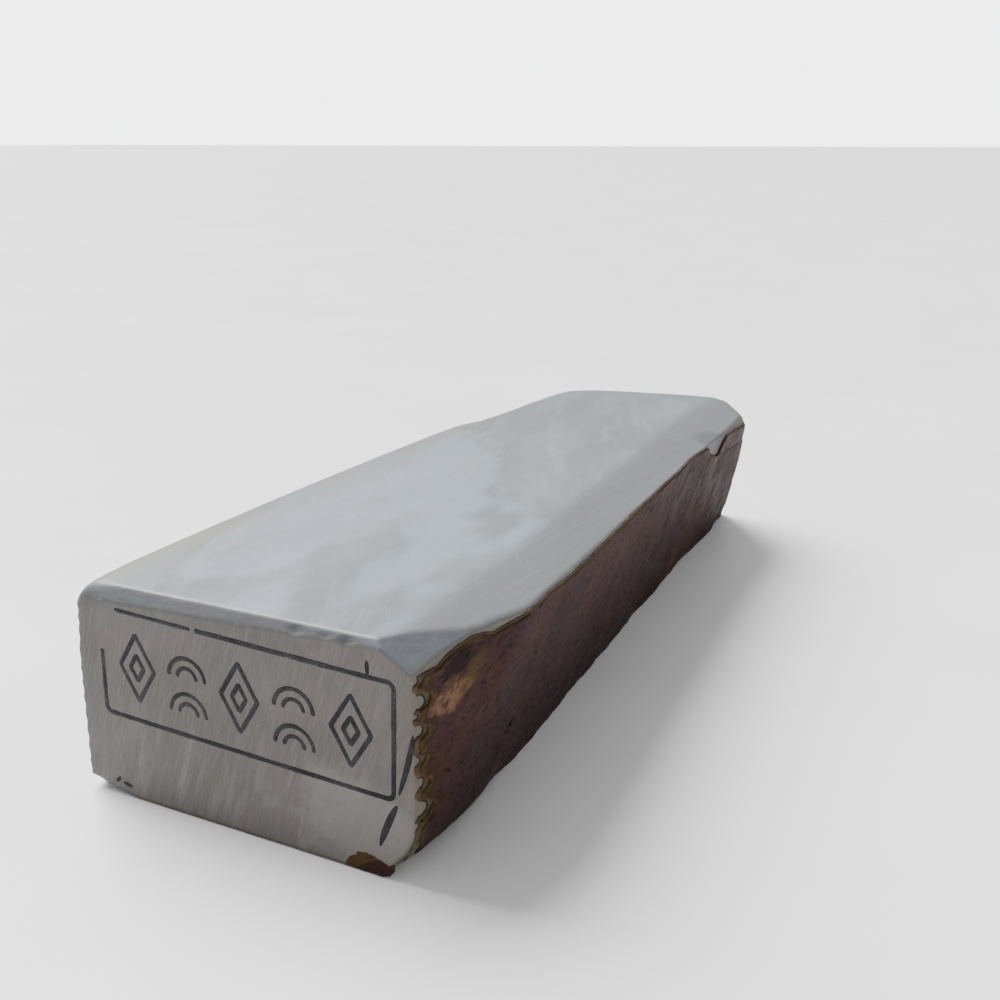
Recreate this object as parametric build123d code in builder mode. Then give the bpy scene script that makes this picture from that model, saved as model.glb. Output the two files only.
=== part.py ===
from build123d import *
from math import cos, radians, sin
import os

# Natural sharpening whetstone, a hand-dressed block that keeps its dark skin along one side.
# Frame: origin at the middle of the underside, +Y along the stone, away from the stamped end,
# +X towards the skin, +Z up. Millimetres.

os.makedirs("parts", exist_ok=True)

# ---- Driving dimensions

length = 205.0
width = 77.6
front_height = 40.5  # top of the stone at the middle of the stamped end
top_fall = 0.016  # the top falls towards the far end
top_roll = 0.020  # and rises a little towards the skin
left_lean = 0.8  # the left side leans in by this much over the height
left_bevel = 1.5

skin = 1.6  # thickness of the dark natural skin
rind = 0.8  # thickness of the stained layer under it
flake = 0.5  # the far patch of skin lies this much lower
ink = 0.08  # thickness of the printed and brushed ink

chamfer_depth = 1.5  # how far the front chamfer runs back over the top

front = -length / 2 + ink  # the sawn end that carries the ink
back = length / 2
side = width / 2

shoulder = (side, -76, 38.9)  # the widest place on the skin side
far_corner = (30.9, 83, 36)  # where the skin side meets the rounded corner of the far end
crease_front = 26.4  # distance out to the crease where the flat top meets the easier band
crease_back = 14.4

# The ruled border and the row of figures inside it, on the stamped end
stamp_centre = (-1.85, 25.55)
stamp_tilt = -1.7
stamp_size = (58.7, 20.0)
stamp_line = 0.9
stamp_corner = 1.2
figure_count = 5
figure_step = 10.8
figure_height = 14.0
figure_width = 8.4
figure_line = 0.8
wave_radii = (3.8, 2.0)
wave_heights = (-6.0, 0.6)

# Brushed ink strokes as start, end and width, in the plane of the stamped end
brush_strokes = [
    ((30.6, 26.8), (28.2, 16.2), 1.1),
    ((27.7, 13.9), (24.4, 6.0), 1.2),
    ((-30.9, 2.6), (-29.7, 3.8), 0.7),
    ((-29.6, 2.7), (-27.4, 2.4), 0.7),
    ((22.0, 37.2), (22.4, 39.0), 0.9),
]


def top_at(x, y):
    """Height of the flat top over a point of the plan."""
    return front_height + top_roll * x - top_fall * (y - front)


def face_plane(a, b, c):
    """Plane through three points, turned so that it faces away from the inside of the stone."""
    first, second, third = Vector(*a), Vector(*b), Vector(*c)
    plane = Plane(origin=first, x_dir=second - first, z_dir=(second - first).cross(third - first))
    inside = plane.to_local_coords(Vector(0, 0, front_height / 2))
    return plane if inside.Z < 0 else -plane


def side_plane(a, b, lean):
    """Plane that stands on two points of the plan, with its top moved by lean along X."""
    return face_plane((*a, 0), (*b, 0), (a[0] + lean, a[1], front_height))


# ---- Dressed faces, each a plane cut

crease_a = (crease_front, -86, top_at(crease_front, -86))
crease_b = (crease_back, back, top_at(crease_back, back))
top_faces = [
    face_plane((0, front, top_at(0, front)), (20, front, top_at(20, front)), (0, back, top_at(0, back))),
    face_plane(crease_a, crease_b, shoulder),
]

chamfer_top = (0, front + chamfer_depth, top_at(0, front + chamfer_depth))
facet_top = (24.7, front + chamfer_depth, top_at(24.7, front + chamfer_depth))
front_faces = [
    face_plane((-34, front, 37.4), (26, front, 39.9), chamfer_top),
    face_plane((31.6, front, 36), (38.1, -84, 39.3), facet_top),
    face_plane((-36.5, front, 2.2), (-26, front, 0), (-36.9, -98, 0)),
]
far_faces = [
    side_plane((-19.5, 98), (21, back), 0),
    side_plane((-29.5, 93), (-19.5, 98), 0),
    face_plane((22, back, 0), (20.3, 99, 37), (14.4, back, 37.5)),
    face_plane((23, 99, 0), (20.3, 99, 37), far_corner),
]
left_faces = [
    side_plane((-36.5, front), (-side, -34), left_lean),
    side_plane((-side, -34), (-37.8, 34), left_lean),
    side_plane((-37.8, 34), (-29.5, 93), left_lean),
]
skin_faces = [
    face_plane((31.6, front, 9), (31.6, front, 36), shoulder),
    face_plane(shoulder, far_corner, (27.1, -40, 0)),
    face_plane((26.2, front, 1), (31.6, front, 9), (28.4, -63, 0)),
]

# ---- The whole block, before it is told apart into its layers

with BuildPart() as block:
    with BuildSketch(Plane.XY):
        with Locations((0, (front + back) / 2)):
            Rectangle(width + 20, back - front)
    extrude(amount=front_height + 5)
    for face in top_faces + left_faces + far_faces + skin_faces:
        split(bisect_by=face, keep=Keep.BOTTOM)
    left_edges = block.edges().filter_by(lambda e: e.center().X < -30 and e.center().Z > 30)
    top_left = left_edges.filter_by(lambda e: e.length > 30)
    chamfer(top_left, length=left_bevel)
    for face in front_faces:
        split(bisect_by=face, keep=Keep.BOTTOM)

# The chip out of the skin near its far end, and the lower patch beyond it, seen from the side
far_patch_foot = (61.5, 30.6)
far_patch_top = (64.5, 44)

with BuildPart() as chip_space:
    with BuildSketch(Plane.YZ):
        with BuildLine():
            Polyline((43, 44), (46.5, 35.8), (53.8, 32), (58, 30.7), far_patch_foot, far_patch_top, close=True)
        make_face()
    extrude(amount=width)

with BuildPart() as far_space:
    with BuildSketch(Plane.YZ):
        with BuildLine():
            Polyline(far_patch_foot, far_patch_top, (back + 5, 44), (back + 5, 26.5), close=True)
        make_face()
    extrude(amount=width)

# A scrap of skin that the saw left at the foot of the stamped end
with BuildPart() as scrap_space:
    with BuildSketch(Plane(origin=(0, front, 0), x_dir=(1, 0, 0), z_dir=(0, -1, 0))):
        with BuildLine():
            ThreePointArc((17, 0), (21.5, 4.2), (26.8, 3.2))
            Line((26.8, 3.2), (25.6, 0))
            Line((25.6, 0), (17, 0))
        make_face()
    extrude(amount=-skin)

# ---- Stone and its layers

with BuildPart() as stone_core:
    add(block.part)
    for face in skin_faces:
        split(bisect_by=face.offset(-(skin + rind)), keep=Keep.BOTTOM)

with BuildPart() as stone_body:
    add(stone_core.part)
    add(scrap_space.part, mode=Mode.SUBTRACT)
stone_body.part.label = "stone_body"

with BuildPart() as corner_skin:
    add(stone_core.part)
    add(scrap_space.part, mode=Mode.INTERSECT)
corner_skin.part.label = "corner_skin"

with BuildPart() as weathered_rind:
    add(block.part)
    for face in skin_faces:
        split(bisect_by=face.offset(-skin), keep=Keep.BOTTOM)
    add(stone_core.part, mode=Mode.SUBTRACT)
    add(chip_space.part, mode=Mode.SUBTRACT)
weathered_rind.part.label = "weathered_rind"

with BuildPart() as side_skin:
    add(block.part)
    add(stone_core.part, mode=Mode.SUBTRACT)
    add(weathered_rind.part, mode=Mode.SUBTRACT)
    add(chip_space.part, mode=Mode.SUBTRACT)
    add(far_space.part, mode=Mode.SUBTRACT)
side_skin.part.label = "side_skin"

with BuildPart() as far_skin:
    add(block.part)
    add(stone_core.part, mode=Mode.SUBTRACT)
    add(weathered_rind.part, mode=Mode.SUBTRACT)
    add(far_space.part, mode=Mode.INTERSECT)
    split(bisect_by=skin_faces[1].offset(-flake), keep=Keep.BOTTOM)
far_skin.part.label = "far_skin"

# ---- Ink on the stamped end

ink_plane = Plane(origin=(0, front, 0), x_dir=(1, 0, 0), z_dir=(0, -1, 0))
stamp_along = (cos(radians(stamp_tilt)), 0, sin(radians(stamp_tilt)))
stamp_plane = Plane(origin=(stamp_centre[0], front, stamp_centre[1]), x_dir=stamp_along, z_dir=(0, -1, 0))

with BuildPart() as stamp_border:
    with BuildSketch(stamp_plane):
        RectangleRounded(stamp_size[0] + stamp_line, stamp_size[1] + stamp_line, stamp_corner)
        RectangleRounded(
            stamp_size[0] - stamp_line,
            stamp_size[1] - stamp_line,
            stamp_corner - stamp_line / 2,
            mode=Mode.SUBTRACT,
        )
    extrude(amount=ink)
stamp_border.part.label = "stamp_border"

# Lozenges inside lozenges, and between them two rising pairs of waves
lozenge_places = [(figure_step * (i - 2), 0) for i in range(0, figure_count, 2)]
wave_places = [(figure_step * (i - 2), z) for i in range(1, figure_count, 2) for z in wave_heights]

with BuildPart() as stamp_figures:
    with BuildSketch(stamp_plane):
        for size, mode in ((1.0, Mode.ADD), (0.76, Mode.SUBTRACT), (0.46, Mode.ADD), (0.22, Mode.SUBTRACT)):
            with Locations(*lozenge_places):
                Polygon(
                    (figure_width / 2 * size, 0),
                    (0, figure_height / 2 * size),
                    (-figure_width / 2 * size, 0),
                    (0, -figure_height / 2 * size),
                    mode=mode,
                )
    with BuildSketch(stamp_plane):
        for place in wave_places:
            for radius in wave_radii:
                with BuildLine():
                    CenterArc(place, radius, 0, 180)
                trace(line_width=figure_line)
    extrude(amount=ink)
stamp_figures.part.label = "stamp_figures"

with BuildPart() as brush_marks:
    with BuildSketch(ink_plane):
        for start, end, thick in brush_strokes:
            a, b = Vector(*start), Vector(*end)
            across = (b - a).normalized().rotate(Axis.Z, 90) * thick / 2
            with BuildLine():
                ThreePointArc(a, (a + b) / 2 + across, b)
                ThreePointArc(b, (a + b) / 2 - across, a)
            make_face()
    extrude(amount=ink)
brush_marks.part.label = "brush_marks"

# ---- Files, one for each piece

pieces = [
    stone_body,
    weathered_rind,
    side_skin,
    far_skin,
    corner_skin,
    stamp_border,
    stamp_figures,
    brush_marks,
]
for piece in pieces:
    export_step(piece.part, f"parts/{piece.part.label}.step")
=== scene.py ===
from math import pi, radians

import bmesh
import bpy
import numpy as np
from mathutils import Euler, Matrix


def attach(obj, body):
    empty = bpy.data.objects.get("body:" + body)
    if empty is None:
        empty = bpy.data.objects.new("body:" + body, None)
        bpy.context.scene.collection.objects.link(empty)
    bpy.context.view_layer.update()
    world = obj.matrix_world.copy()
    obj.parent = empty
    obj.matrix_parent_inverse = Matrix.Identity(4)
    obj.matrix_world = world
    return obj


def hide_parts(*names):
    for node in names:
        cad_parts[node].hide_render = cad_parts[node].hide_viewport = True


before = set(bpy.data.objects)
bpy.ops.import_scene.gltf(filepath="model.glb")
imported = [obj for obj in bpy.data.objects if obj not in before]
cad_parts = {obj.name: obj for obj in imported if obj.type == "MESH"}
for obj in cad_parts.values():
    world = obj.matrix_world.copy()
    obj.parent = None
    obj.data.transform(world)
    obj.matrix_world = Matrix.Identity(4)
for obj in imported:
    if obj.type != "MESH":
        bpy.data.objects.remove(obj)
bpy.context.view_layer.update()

# A natural whetstone: a dressed grey stone with a dark skin along its right side.
# The frame's flat faces are the design; here they get their worn edges, chips, relief and ink.
# Shapes are worked out in millimetres and turned to metres when a mesh is made.

perMetre = 1000.0


def cellValue(ix, iy, iz, seed):
    # a number from 0 to 1 for each whole-number cell, from mixing its three counts as integers
    h = (ix * 374761393 + iy * 668265263 + iz * 1274126177 + seed * 97532147) & 0xFFFFFFFF
    h = ((h ^ (h >> 13)) * 1103515245) & 0xFFFFFFFF
    h = ((h ^ (h >> 15)) * 668265263) & 0xFFFFFFFF
    return (h ^ (h >> 16)).astype(float) / 4294967295.0


def smoothNoise(points, size, seed):
    # cell values blended along all three axes by the curve 3t^2 - 2t^3, from -1 to 1
    p = points / np.asarray(size, float)
    cell = np.floor(p).astype(np.int64)
    t = p - cell
    t = t * t * (3 - 2 * t)
    total = 0.0
    for dx in (0, 1):
        for dy in (0, 1):
            for dz in (0, 1):
                share = (
                    (t[..., 0] if dx else 1 - t[..., 0])
                    * (t[..., 1] if dy else 1 - t[..., 1])
                    * (t[..., 2] if dz else 1 - t[..., 2])
                )
                corner = cellValue(cell[..., 0] + dx, cell[..., 1] + dy, cell[..., 2] + dz, seed)
                total = total + share * corner
    return total * 2 - 1


def layeredNoise(points, size, seed, layers=3, gain=0.5):
    # each layer is half the size of the one before and gain times as strong
    total, reach = 0.0, 0.0
    for k in range(layers):
        total = total + gain**k * smoothNoise(points, np.asarray(size, float) / 2**k, seed + 11 * k)
        reach += gain**k
    return total / reach


def ramp(x, low, high):
    # 0 below low, 1 above high, and 3t^2 - 2t^3 between
    t = np.clip((x - low) / (high - low), 0, 1)
    return t * t * (3 - 2 * t)


reading = dict(
    weld=0.01,  # corners nearer than this are one
    scrap=0.5,  # hull faces smaller than this many square millimetres are left out
    sameWay=0.9994,  # faces whose normals agree this well, and whose distances agree
    sameReach=0.2,  # to this, are one face
    least=6,  # the smallest area of a face that is kept
)


def flatFaces(*nodes):
    # unit normals and distances of the flat faces of the tight hull around the nodes' corners
    bm = bmesh.new()
    for node in nodes:
        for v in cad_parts[node].data.vertices:
            bm.verts.new(v.co * perMetre)
    bmesh.ops.remove_doubles(bm, verts=bm.verts, dist=reading["weld"])
    bmesh.ops.convex_hull(bm, input=bm.verts)
    bm.normal_update()
    found = [(f.calc_area(), np.array(f.normal), f.normal.dot(f.verts[0].co)) for f in bm.faces]
    found = sorted((row for row in found if row[0] > reading["scrap"]), key=lambda row: -row[0])
    bm.free()
    kept = []
    for area, normal, distance in found:
        for group in kept:
            sameWay = group[1] @ normal > reading["sameWay"]
            if sameWay and abs(group[2] - distance) < reading["sameReach"]:
                group[0] += area
                break
        else:
            kept.append([area, normal, distance])
    kept = [g for g in kept if g[0] > reading["least"]]
    return np.array([g[1] for g in kept]), np.array([g[2] for g in kept])


blockNormals, blockReach = flatFaces("stone_body", "weathered_rind", "side_skin", "far_skin")
frontY = float(-blockReach[np.argmin(blockNormals[:, 1])])
# which face of the stone each is, by the way it looks
isSkin = blockNormals[:, 0] > 0.8
isTop = blockNormals[:, 2] > 0.95
isFront = blockNormals[:, 1] < -0.98
isLeft = blockNormals[:, 0] < -0.9
isFar = blockNormals[:, 1] > 0.6
isBottom = blockNormals[:, 2] < -0.95
bandFace = int(np.argmax(np.where(isTop, blockNormals[:, 0], -9)))
print("faces read from the frame:", len(blockReach))

# a narrow ground bevel where the top meets the skin side: a plane of the pencil through their edge
bevel = dict(lean=0.42, cut=0.62)
bevelNormals, bevelReach = [], []
for k in np.flatnonzero(isSkin & (blockNormals[:, 2] > -0.3) & (blockNormals[:, 1] < 0.4)):
    n = blockNormals[bandFace] * (1 - bevel["lean"]) + blockNormals[k] * bevel["lean"]
    d = blockReach[bandFace] * (1 - bevel["lean"]) + blockReach[k] * bevel["lean"] - bevel["cut"]
    bevelNormals.append(n / np.linalg.norm(n))
    bevelReach.append(d / np.linalg.norm(n))
faceNormals = np.vstack([blockNormals, bevelNormals])
faceReach = np.concatenate([blockReach, bevelReach])
spare = np.zeros(len(bevelReach), bool)
isSkin, isTop, isFront, isLeft, isFar, isBottom = (
    np.concatenate([m, spare]) for m in (isSkin, isTop, isFront, isLeft, isFar, isBottom)
)
isUpper = (faceNormals[:, 2] > 0.3) & ~isSkin
isFacet = ~(isTop | isLeft | isFar | isFront | isBottom | isSkin)  # chamfer, corner facet and bevels
isLeftBevel = (faceNormals[:, 0] < -0.5) & (faceNormals[:, 2] > 0.5)


def gridFaces(rows, columns, start=0):
    # the four-cornered faces between neighbouring rows and columns of a grid of points
    i, j = np.meshgrid(np.arange(rows - 1), np.arange(columns - 1), indexing="ij")
    a = start + i * columns + j
    return np.stack([a, a + columns, a + columns + 1, a + 1], -1).reshape(-1, 4)


def makePiece(name, points, faces, node, material, marks=None):
    # points in millimetres; doubles along shared edges are merged, so the surface is closed; marks are
    # values at the points that the finishes read
    mesh = bpy.data.meshes.new(name)
    mesh.from_pydata((np.asarray(points) / perMetre).tolist(), [], np.asarray(faces).tolist())
    for key, values in (marks or {}).items():
        layer = mesh.attributes.new(key, "FLOAT", "POINT")
        layer.data.foreach_set("value", np.asarray(values, np.float32))
    bm = bmesh.new()
    bm.from_mesh(mesh)
    bmesh.ops.remove_doubles(bm, verts=bm.verts, dist=2e-6)
    bmesh.ops.dissolve_degenerate(bm, edges=bm.edges, dist=1e-6)
    bmesh.ops.recalc_face_normals(bm, faces=bm.faces)
    bm.to_mesh(mesh)
    bm.free()
    mesh.polygons.foreach_set("use_smooth", np.full(len(mesh.polygons), True))
    mesh.materials.append(material)
    piece = bpy.data.objects.new(name, mesh)
    bpy.context.scene.collection.objects.link(piece)
    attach(piece, "root")
    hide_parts(node)
    return piece


def closedSheet(outer, inner):
    # the outer grid, the inner grid turned over, and strips around all four sides
    rows, columns = outer.shape[:2]
    count = rows * columns
    top = gridFaces(rows, columns)
    low = gridFaces(rows, columns, count)[:, ::-1]
    index = np.arange(count).reshape(rows, columns)
    rim = np.concatenate([index[0], index[1:, -1], index[-1, -2::-1], index[-2:0:-1, 0]])
    following = np.roll(rim, -1)
    sides = np.stack([rim, following, following + count, rim + count], -1)
    return np.concatenate([outer.reshape(-1, 3), inner.reshape(-1, 3)]), np.concatenate([top, low, sides])


shape = dict(
    layers=0.8,  # depth of the stained layer and skin together, as they show
    skinFaceRound=0.6,  # how softly the faces of the skin side run together
    swell=(0.45, 17.0),  # slow bulges of the skin side, depth and size
    lumps=(0.26, 6.0),
    tuck=(1.0, 7.0),  # the skin's foot turns under, by this much within this height
    # hollow along the side, which swells again towards the far end: place and depth
    waist=(
        (-76, 0),
        (-50, 0.3),
        (0, 0.7),
        (30, 1.0),
        (45, 0.6),
        (60, 0.1),
        (75, -0.8),
        (84, -1.8),
        (92, -2.1),
    ),
    footSwell=(1.2, -85.0, 13.0, 14.0),  # the foot bulges near the front: depth, place, length and height
    dish=(0.22, 34, 96),  # hollow that honing has worn in the top: depth, and half its width and length
    farSwell=1.0,  # the far end stands out by this much, which its worn edges take off again
    farLap=0.6,  # the layers follow it out by this share
    farRough=(0.45, 13),  # roughness of the far end, depth and size
    facetRough=(0.10, 3.2),  # and of the ground facets
)
leftSide = dict(
    swell=0.8,  # the side and its bevel stand out by this much, which worn edges take off again
    rough=((0.32, 9), (0.25, 34)),  # coarse and slow roughness, depth and size
    roughFrom=(1, 14),  # which sets in between these distances from the stamped end
    ripple=(0.13, 3.1, 5),  # saw ripples by the stamped end: depth, pitch and reach
    # the side is spalled away towards the far end: where that begins, how deep it is, how long the
    # step in is, and how far on it has run out again
    spallFrom=31.0,
    spallDepth=3.3,
    spallStep=13,
    spallEnd=66,
)


def lineAt(line, t):
    # a value read off a line of points by straight runs
    places, values = np.array(line, float).T
    return np.interp(t, places, values)


def hump(t, middle, width):
    # 1 at the middle, falling as exp(-distance^2)
    return np.exp(-(((t - middle) / width) ** 2))


def sideRelief(y, z):
    # inward depth of the skin side: slow bulges, lumps, the hollow waist, the tucked-under foot, and
    # the bulge of the foot near the stamped end
    p = np.stack([np.zeros_like(y), y, z], -1)
    swell = shape["swell"][0] * layeredNoise(p, shape["swell"][1], 5, 2)
    lumps = shape["lumps"][0] * layeredNoise(p, shape["lumps"][1], 9, 3)
    foot = np.clip(1 - z / shape["tuck"][1], 0, 1)
    tuck = shape["tuck"][0] * foot**2 * (0.7 + 0.3 * smoothNoise(p, 14, 3))
    waist = lineAt(shape["waist"], y) * (0.35 + 0.65 * ramp(z, 4, 34))
    bulge, middle, width, height = shape["footSwell"]
    return swell + lumps + tuck + waist - bulge * hump(y, middle, width) * (1 - ramp(z, 1, height))


def sideX(y, z, inset):
    # the least of the side faces' distances along X at each height and place, softly joined
    n, d = faceNormals[isSkin], faceReach[isSkin]
    x = (d - y[..., None] * n[:, 1] - z[..., None] * n[:, 2]) / n[:, 0]
    r = shape["skinFaceRound"]
    least = x.min(-1, keepdims=True)
    return least[..., 0] - r * np.log(np.exp((least - x) / r).sum(-1)) - inset


def upperZ(x, y):
    # the height at which the top, band, bevels, chamfer and corner facet close the stone
    n, d = faceNormals[isUpper], faceReach[isUpper]
    return ((d - x[..., None] * n[:, 0] - y[..., None] * n[:, 1]) / n[:, 2]).min(-1)


def farY(x, z):
    # the place along Y of the far end and its cut corner, where the layers end
    n, d = faceNormals[isFar], faceReach[isFar] + shape["farSwell"] * shape["farLap"]
    return ((d - x[..., None] * n[:, 0] - z[..., None] * n[:, 2]) / n[:, 1]).min(-1)


stone = dict(
    heart=(0.0, 0.0, 19.0),
    reach=(38.0, 102.0, 20.0),
    spine=0.86,  # the rays start on a spine this share of the length
    crisp=0.12,  # rounding of the sawn and ground edges
    worn=0.5,  # rounding of the old edges on the left and at the far end
    rayEnd=1.4,  # the surface is sought this far along each ray, by so many halvings and Newton steps
    halvings=9,
    newtonSteps=8,
    reliefSteps=(0, 7, 10, 13),  # the steps at which the relief is worked out afresh
    cellsAcross=((-1, -0.9, 10), (-0.9, 0.55, 62), (0.55, 1, 44)),
    cellsAlong=((-1, -0.86, 46), (-0.86, 0.9, 120), (0.9, 1, 14)),
    cellsUp=((-1, -0.9, 7), (-0.9, 0.7, 36), (0.7, 1, 22)),
    # chips in the edges: place of the edge, radius of the bite and its depth
    chips=(
        ((9.8, -101.9, 40.1), 2.1, 0.5),
        ((-10.6, -101.9, 39.4), 1.6, 0.34),
        ((19.4, -102.1, 39.9), 1.7, 0.36),
        ((-25.6, -102.0, 38.6), 1.3, 0.26),
        ((1.2, -101.3, 40.4), 1.6, 0.25),
        ((27.6, -101.6, 40.0), 1.4, 0.28),
        ((-21.0, -101.9, 38.9), 1.4, 0.22),
        ((15.2, -102.0, 40.0), 1.3, 0.25),
        ((35.4, 54.6, 38.6), 8.6, 4.9),
    ),
)


def leftRelief(p, fromFront):
    # roughness, sine ripples that die away from the stamped end, and the spalled stretch: a step in
    # and a long slope out again, shallower at the foot
    y, z = p[..., 1], p[..., 2]
    deep, pitch, reach = leftSide["ripple"]
    ripple = deep * np.sin(2 * pi * z / pitch + 1.5 * smoothNoise(p, 6, 8)) * np.exp(-fromFront / reach)
    (coarse, coarseSize), (slow, slowSize) = leftSide["rough"]
    rough = coarse * layeredNoise(p, coarseSize, 31, 4, 0.6) + slow * layeredNoise(p, slowSize, 7, 2)
    begin = leftSide["spallFrom"]
    stepIn = ramp(y, begin, begin + leftSide["spallStep"])
    slopeOut = ramp(y, begin + leftSide["spallStep"] + 1, begin + leftSide["spallEnd"])
    spall = stepIn * (1 - slopeOut) * (0.55 + 0.45 * ramp(z, 4, 34))
    spall = spall * leftSide["spallDepth"] * (1 + 0.12 * smoothNoise(p, 7, 12))
    return ramp(fromFront, *leftSide["roughFrom"]) * rough + ripple + spall - leftSide["swell"]


def reliefOn(p):
    # inward depth in millimetres on each face of the stone, by which way the face looks
    x, y, z = p[..., 0], p[..., 1], p[..., 2]
    depth = np.zeros(p.shape[:-1] + (len(faceReach),))
    dish, halfWidth, halfLength = shape["dish"]
    hollow = dish * np.clip(1 - (x / halfWidth) ** 2, 0, 1) * np.clip(1 - (y / halfLength) ** 2, 0, 1)
    depth[..., isTop] = (hollow + 0.05 * smoothNoise(p, 24, 2))[..., None]
    fromFront = y - frontY
    depth[..., isLeft] = leftRelief(p, fromFront)[..., None]
    farDepth, farSize = shape["farRough"]
    depth[..., isFar] = (farDepth * layeredNoise(p, farSize, 41, 4, 0.6) - shape["farSwell"])[..., None]
    depth[..., isFront] = (0.012 * smoothNoise(p, 5, 51))[..., None]
    depth[..., isBottom] = (0.06 + 0.05 * smoothNoise(p, 8, 61))[..., None]
    facetDepth, facetSize = shape["facetRough"]
    depth[..., isFacet] = (facetDepth * layeredNoise(p, facetSize, 71, 3, 0.6))[..., None]
    depth[..., isLeftBevel] -= (leftSide["swell"] * ramp(fromFront, 0, 16))[..., None]
    depth[..., isSkin] = shape["layers"] + sideRelief(y, z)[..., None]
    return depth


def sideGap(p, relief):
    # how far each point lies outside the stone's own skin side, under the layers
    lead = np.flatnonzero(isSkin)[0]
    x = sideX(p[..., 1], p[..., 2], 0.0) - relief[..., lead]
    return lead, (p[..., 0] - x) * faceNormals[lead, 0]


def edgeRound(p):
    # old worn edges along the upper left and at the far end, short of the skin; crisp ones elsewhere
    x, y, z = p[..., 0], p[..., 1], p[..., 2]
    oldLeft = ramp(-x, 27, 34) * ramp(z, 24, 34)
    oldFar = ramp(y, 84, 96) * (1 - ramp(x, 10, 24))
    return stone["crisp"] + (stone["worn"] - stone["crisp"]) * np.maximum(oldLeft, oldFar)


def chipEntry(start, way, t, chip, seed):
    # where each ray enters the chip's ball, or far out if it misses; the ball stands off the edge
    # between the two faces nearest to it, and its radius is a little rough
    place, radius, deep = np.array(chip[0]), chip[1], chip[2]
    g = faceNormals @ place - faceReach
    outward = faceNormals[np.argsort(g)[-2:]].sum(0)
    centre = place + outward / np.linalg.norm(outward) * (radius - deep)
    rough = radius * (1 + 0.05 * smoothNoise(start + way * t[..., None], 1.7, seed))
    toCentre = centre - start
    a = (way * way).sum(-1)
    b = (way * toCentre).sum(-1)
    inside = b * b - a * ((toCentre * toCentre).sum(-1) - rough**2)
    entry = np.where(inside > 0, (b - np.sqrt(np.maximum(inside, 0))) / a, 9.0)
    return np.where(entry > 0.2, entry, 9.0)


def stoneSurface(start, way):
    # each ray leaves the spine and stops where the softly joined faces, pushed in by their relief,
    # reach zero; halving finds the place roughly and Newton steps finely, and a bite stops the ray
    # where it enters its ball
    near, far = np.zeros(start.shape[:-1]), np.full(start.shape[:-1], stone["rayEnd"])
    t = (near + far) / 2
    for step in range(stone["halvings"] + stone["newtonSteps"]):
        p = start + way * t[..., None]
        if step in stone["reliefSteps"]:
            relief = reliefOn(p)
        r = edgeRound(p)[..., None]
        g = p @ faceNormals.T - faceReach + relief
        lead, gap = sideGap(p, relief)
        g[..., isSkin] = -99.0
        g[..., lead] = gap
        highest = g.max(-1, keepdims=True)
        share = np.exp((g - highest) / r)
        total = share.sum(-1, keepdims=True)
        gap = (highest + r * np.log(total))[..., 0]
        share = share / total
        if step < stone["halvings"]:
            near, far = np.where(gap < 0, t, near), np.where(gap < 0, far, t)
            t = (near + far) / 2
        else:
            t = t - gap / ((share @ faceNormals) * way).sum(-1)
    for n, chip in enumerate(stone["chips"]):
        t = np.minimum(t, chipEntry(start, way, t, chip, 80 + n))
    return start + way * t[..., None], share


def unevenSteps(parts):
    # evenly divided runs set end to end
    runs = [np.linspace(a, b, n, endpoint=False) for a, b, n in parts]
    return np.concatenate(runs + [[parts[-1][1]]])


def stoneGrids():
    # the six sides of a box of directions, as seen from the spine
    a, b, c = (unevenSteps(stone[k]) for k in ("cellsAcross", "cellsAlong", "cellsUp"))
    for axis, first, second in ((0, b, c), (1, a, c), (2, a, b)):
        for end in (-1.0, 1.0):
            u, v = np.meshgrid(first, second, indexing="ij")
            box = np.insert(np.stack([u, v], -1), axis, end, axis=-1)
            onSpine = box[..., 1:2] * np.array([0.0, stone["reach"][1], 0.0])
            start = np.array(stone["heart"]) + onSpine * stone["spine"]
            way = box * np.array(stone["reach"])
            way[..., 1] *= 1 - stone["spine"]
            yield start, way


def buildStone(material):
    # the marks are each point's share of the faces beside it, and its distance from the skin
    points, faces, shares, count = [], [], [], 0
    for start, way in stoneGrids():
        p, share = stoneSurface(start, way)
        faces.append(gridFaces(*p.shape[:2], count))
        points.append(p.reshape(-1, 3))
        shares.append(share.reshape(-1, share.shape[-1]))
        count += len(points[-1])
    points, shares = np.concatenate(points), np.concatenate(shares)
    grouped = np.column_stack([shares[:, ~isTop], shares[:, isTop].sum(1)])
    toSkin = sideX(points[:, 1], points[:, 2], shape["layers"]) - points[:, 0]
    marks = dict(
        honed=shares[:, isTop].sum(1),
        band=shares[:, bandFace],
        sawn=shares[:, isFront].sum(1),
        ground=shares[:, isFacet].sum(1),
        edge=1 - grouped.max(1),
        toSkin=np.maximum(toSkin, 0) + 4 * hump(points[:, 1], 54, 9),  # the chip shows clean stone
    )
    return makePiece("stone", points, np.concatenate(faces), "stone_body", material, marks)


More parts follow.
